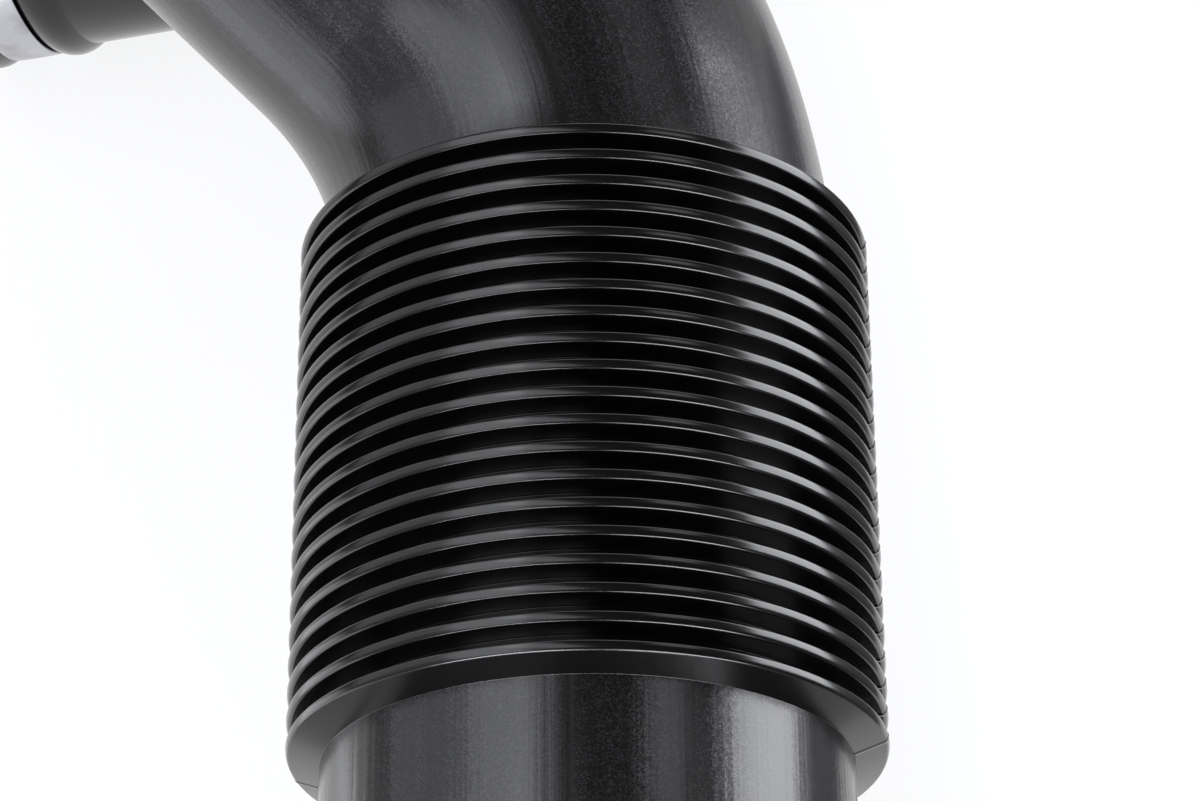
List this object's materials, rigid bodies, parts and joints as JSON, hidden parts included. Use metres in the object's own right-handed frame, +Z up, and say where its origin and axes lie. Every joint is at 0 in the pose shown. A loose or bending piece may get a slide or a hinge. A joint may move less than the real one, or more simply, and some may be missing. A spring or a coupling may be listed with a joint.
{
  "type": "cold air intake pipe",
  "caption": "Black plastic air intake duct with a finned bellows, a plain spigot, an elbow with a plain end, and a smaller branch whose beaded cuff carries a steel pinch clamp.",
  "frame": {"origin": "centre of the spigot's mouth", "axes": "+Y runs from the spigot's mouth along the bellows into the duct, +Z is up from the floor that the duct lies on, and +X is the side away from the branch"},
  "size_m": [0.1898, 0.3122, 0.168],
  "materials": {
    "black_plastic": "fine grained",
    "steel": "brushed"
  },
  "bodies": {
    "root": {"duct": "black_plastic", "pinch_clamp": "steel"}
  },
  "joints": []
}
